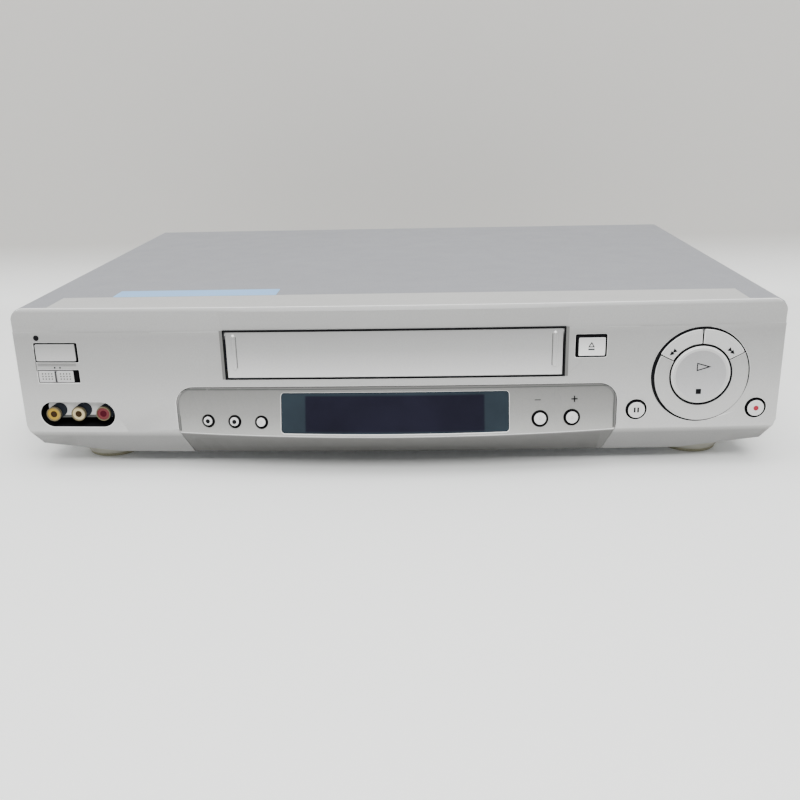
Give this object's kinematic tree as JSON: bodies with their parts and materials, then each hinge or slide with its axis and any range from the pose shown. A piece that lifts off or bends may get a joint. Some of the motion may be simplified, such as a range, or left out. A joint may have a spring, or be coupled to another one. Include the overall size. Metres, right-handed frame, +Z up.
{
  "type": "video cassette recorder",
  "caption": "Home video cassette recorder with a bowed front, hinged cassette door, round dial, front jacks, and a loading carriage and scanning deck inside.",
  "frame": {"origin": "centre of the footprint on the ground", "axes": "+X to the right seen from the front, +Y to the rear, +Z up"},
  "size_m": [0.43, 0.3314, 0.097],
  "materials": {
    "front_bezel": "satin silver paint on a moulding",
    "control_panel": "satin grey paint",
    "display_window": "smoked lens",
    "tape_door": "satin silver paint",
    "power_button": "satin silver",
    "standby_switch": "satin silver",
    "power_indicator": "black",
    "eject_button": "satin silver",
    "rewind_button": "satin silver",
    "fast_forward_button": "satin silver",
    "play_stop_button": "satin silver",
    "pause_button": "satin silver",
    "record_button": "satin silver",
    "key_1": "satin silver",
    "key_2": "satin silver",
    "key_3": "satin silver",
    "channel_down_button": "satin silver",
    "channel_up_button": "satin silver",
    "jack_barrels": "black",
    "jack_shells": "nickel plated",
    "jack_insulator_yellow": "yellow",
    "jack_insulator_white": "white",
    "jack_insulator_red": "red",
    "top_cover": "fine textured silver grey paint",
    "cover_screws": "dark plated",
    "chassis_pan": "zinc plated",
    "rear_panel": "dark paint",
    "feet": "grey",
    "foot_pads": "soft pad",
    "front_board": "paper board",
    "display_tube": "clear",
    "main_board": "glass board",
    "power_board": "paper board",
    "transformer": "ferrite and tape",
    "capacitors": "sleeved",
    "heat_sink": "plain",
    "tuner_can": "plated sheet",
    "rear_jack_block": "black",
    "rear_jacks": "nickel plated",
    "aerial_sockets": "nickel plated",
    "mains_inlet": "black",
    "deck_plate": "plated sheet",
    "carriage_frame": "plated sheet",
    "carriage_slider": "plated sheet",
    "cassette_holder": "plated sheet",
    "drive_pinion": "acetal",
    "lower_drum": "turned",
    "upper_drum": "turned",
    "capstan": "ground",
    "pinch_arm": "plated sheet",
    "pinch_roller": "smooth",
    "supply_reel": "black",
    "takeup_reel": "black",
    "supply_guide": "polished",
    "takeup_guide": "polished",
    "cam_gear": "acetal",
    "loading_motor": "plated sheet",
    "motor_gear": "acetal",
    "tension_arm": "plated sheet",
    "tape_heads": "polished"
  },
  "bodies": {
    "case": {"front_bezel": "front_bezel", "control_panel": "control_panel", "display_window": "display_window", "power_indicator": "power_indicator", "jack_barrels": "jack_barrels", "jack_shells": "jack_shells", "jack_insulator_yellow": "jack_insulator_yellow", "jack_insulator_white": "jack_insulator_white", "jack_insulator_red": "jack_insulator_red", "top_cover": "top_cover", "cover_screws": "cover_screws", "chassis_pan": "chassis_pan", "rear_panel": "rear_panel", "feet": "feet", "foot_pads": "foot_pads", "front_board": "front_board", "display_tube": "display_tube", "main_board": "main_board", "power_board": "power_board", "transformer": "transformer", "capacitors": "capacitors", "heat_sink": "heat_sink", "tuner_can": "tuner_can", "rear_jack_block": "rear_jack_block", "rear_jacks": "rear_jacks", "aerial_sockets": "aerial_sockets", "mains_inlet": "mains_inlet", "deck_plate": "deck_plate", "carriage_frame": "carriage_frame", "lower_drum": "lower_drum", "loading_motor": "loading_motor", "tape_heads": "tape_heads"},
    "power_button_body": {"power_button": "power_button"},
    "eject_button_body": {"eject_button": "eject_button"},
    "rewind_button_body": {"rewind_button": "rewind_button"},
    "fast_forward_button_body": {"fast_forward_button": "fast_forward_button"},
    "pause_button_body": {"pause_button": "pause_button"},
    "record_button_body": {"record_button": "record_button"},
    "key_1_body": {"key_1": "key_1"},
    "key_2_body": {"key_2": "key_2"},
    "key_3_body": {"key_3": "key_3"},
    "channel_down_button_body": {"channel_down_button": "channel_down_button"},
    "channel_up_button_body": {"channel_up_button": "channel_up_button"},
    "play_stop_button_body": {"play_stop_button": "play_stop_button"},
    "standby_switch_body": {"standby_switch": "standby_switch"},
    "tape_door_body": {"tape_door": "tape_door"},
    "carriage_slider_body": {"carriage_slider": "carriage_slider"},
    "cassette_holder_body": {"cassette_holder": "cassette_holder"},
    "drive_pinion_body": {"drive_pinion": "drive_pinion"},
    "upper_drum_body": {"upper_drum": "upper_drum"},
    "capstan_body": {"capstan": "capstan"},
    "pinch_arm_body": {"pinch_arm": "pinch_arm"},
    "pinch_roller_body": {"pinch_roller": "pinch_roller"},
    "supply_reel_body": {"supply_reel": "supply_reel"},
    "takeup_reel_body": {"takeup_reel": "takeup_reel"},
    "supply_guide_body": {"supply_guide": "supply_guide"},
    "takeup_guide_body": {"takeup_guide": "takeup_guide"},
    "cam_gear_body": {"cam_gear": "cam_gear"},
    "motor_gear_body": {"motor_gear": "motor_gear"},
    "tension_arm_body": {"tension_arm": "tension_arm"}
  },
  "joints": [
    {"name": "power_press", "type": "slide", "parent": "case", "child": "power_button_body", "axis": [0, 1, 0], "range_m": [0, 0.0008], "stiffness_N_per_m": 1200},
    {"name": "eject_press", "type": "slide", "parent": "case", "child": "eject_button_body", "axis": [0, 1, 0], "range_m": [0, 0.0008], "stiffness_N_per_m": 1200},
    {"name": "rewind_press", "type": "slide", "parent": "case", "child": "rewind_button_body", "axis": [0, 1, 0], "range_m": [0, 0.0008], "stiffness_N_per_m": 1200},
    {"name": "fast_forward_press", "type": "slide", "parent": "case", "child": "fast_forward_button_body", "axis": [0, 1, 0], "range_m": [0, 0.0008], "stiffness_N_per_m": 1200},
    {"name": "pause_press", "type": "slide", "parent": "case", "child": "pause_button_body", "axis": [0, 1, 0], "range_m": [0, 0.0008], "stiffness_N_per_m": 1200},
    {"name": "record_press", "type": "slide", "parent": "case", "child": "record_button_body", "axis": [0, 1, 0], "range_m": [0, 0.0008], "stiffness_N_per_m": 1200},
    {"name": "key_1_press", "type": "slide", "parent": "case", "child": "key_1_body", "axis": [0, 1, 0], "range_m": [0, 0.0008], "stiffness_N_per_m": 1200},
    {"name": "key_2_press", "type": "slide", "parent": "case", "child": "key_2_body", "axis": [0, 1, 0], "range_m": [0, 0.0008], "stiffness_N_per_m": 1200},
    {"name": "key_3_press", "type": "slide", "parent": "case", "child": "key_3_body", "axis": [0, 1, 0], "range_m": [0, 0.0008], "stiffness_N_per_m": 1200},
    {"name": "channel_down_press", "type": "slide", "parent": "case", "child": "channel_down_button_body", "axis": [0, 1, 0], "range_m": [0, 0.0008], "stiffness_N_per_m": 1200},
    {"name": "channel_up_press", "type": "slide", "parent": "case", "child": "channel_up_button_body", "axis": [0, 1, 0], "range_m": [0, 0.0008], "stiffness_N_per_m": 1200},
    {"name": "play_stop_rock", "type": "hinge", "parent": "case", "child": "play_stop_button_body", "pos_m": [0.17006, -0.14872, 0.0555], "axis": [1, 0, 0], "range_deg": [-2.5, 2.5], "stiffness_Nm_per_rad": 0.5},
    {"name": "standby_slide", "type": "slide", "parent": "case", "child": "standby_switch_body", "axis": [1, 0, 0], "range_m": [0, 0.003]},
    {"name": "door_hinge", "type": "hinge", "parent": "case", "child": "tape_door_body", "pos_m": [0, -0.15345, 0.08215], "axis": [1, 0, 0], "range_deg": [0, 78], "stiffness_Nm_per_rad": 0.02, "springref_deg": -17.19},
    {"name": "carriage_slide", "type": "slide", "parent": "case", "child": "carriage_slider_body", "axis": [0, 1, 0], "range_m": [0, 0.06]},
    {"name": "holder_drop", "type": "slide", "parent": "carriage_slider_body", "child": "cassette_holder_body", "axis": [0, 0, -1], "range_m": [0, 0.02]},
    {"name": "pinion_spin", "type": "hinge", "parent": "case", "child": "drive_pinion_body", "pos_m": [0.0994, -0.02625, 0.074], "axis": [1, 0, 0], "range_deg": [-345, 0]},
    {"name": "drum_spin", "type": "hinge", "parent": "case", "child": "upper_drum_body", "pos_m": [0, 0.09875, 0.0356], "axis": [0, -0.0872, 0.9962], "continuous": true},
    {"name": "capstan_spin", "type": "hinge", "parent": "case", "child": "capstan_body", "pos_m": [0.064, 0.06275, 0.0306], "axis": [0, 0, 1], "continuous": true},
    {"name": "pinch_swing", "type": "hinge", "parent": "case", "child": "pinch_arm_body", "pos_m": [0.086, 0.08475, 0.0306], "axis": [0, 0, 1], "range_deg": [-25.5, 0]},
    {"name": "pinch_roller_spin", "type": "hinge", "parent": "pinch_arm_body", "child": "pinch_roller_body", "pos_m": [0.08096, 0.04939, 0.0306], "axis": [0, 0, 1], "continuous": true},
    {"name": "supply_reel_spin", "type": "hinge", "parent": "case", "child": "supply_reel_body", "pos_m": [-0.046, -0.00525, 0.0306], "axis": [0, 0, 1], "continuous": true},
    {"name": "takeup_reel_spin", "type": "hinge", "parent": "case", "child": "takeup_reel_body", "pos_m": [0.046, -0.00525, 0.0306], "axis": [0, 0, 1], "continuous": true},
    {"name": "supply_guide_slide", "type": "slide", "parent": "case", "child": "supply_guide_body", "axis": [-0.1122, 0.9937, 0], "range_m": [0, 0.06]},
    {"name": "takeup_guide_slide", "type": "slide", "parent": "case", "child": "takeup_guide_body", "axis": [0.1122, 0.9937, 0], "range_m": [0, 0.06]},
    {"name": "cam_turn", "type": "hinge", "parent": "case", "child": "cam_gear_body", "pos_m": [-0.06, 0.07475, 0.018], "axis": [0, 0, 1], "range_deg": [0, 180]},
    {"name": "motor_gear_spin", "type": "hinge", "parent": "case", "child": "motor_gear_body", "pos_m": [-0.0841, 0.07475, 0.018], "axis": [0, 0, 1], "range_deg": [-545, 0]},
    {"name": "tension_swing", "type": "hinge", "parent": "case", "child": "tension_arm_body", "pos_m": [-0.074, 0.05475, 0.0306], "axis": [0, 0, 1], "range_deg": [-12, 12], "stiffness_Nm_per_rad": 0.01}
  ],
  "couplings": [
    {"joint": "pinion_spin", "follows": "carriage_slide", "rad_per_m": -100},
    {"joint": "motor_gear_spin", "follows": "cam_turn", "ratio": -3},
    {"joint": "pinch_swing", "follows": "cam_turn", "ratio": -0.13889},
    {"joint": "supply_guide_slide", "follows": "cam_turn", "m_per_rad": 0.019099},
    {"joint": "takeup_guide_slide", "follows": "cam_turn", "m_per_rad": 0.019099}
  ]
}
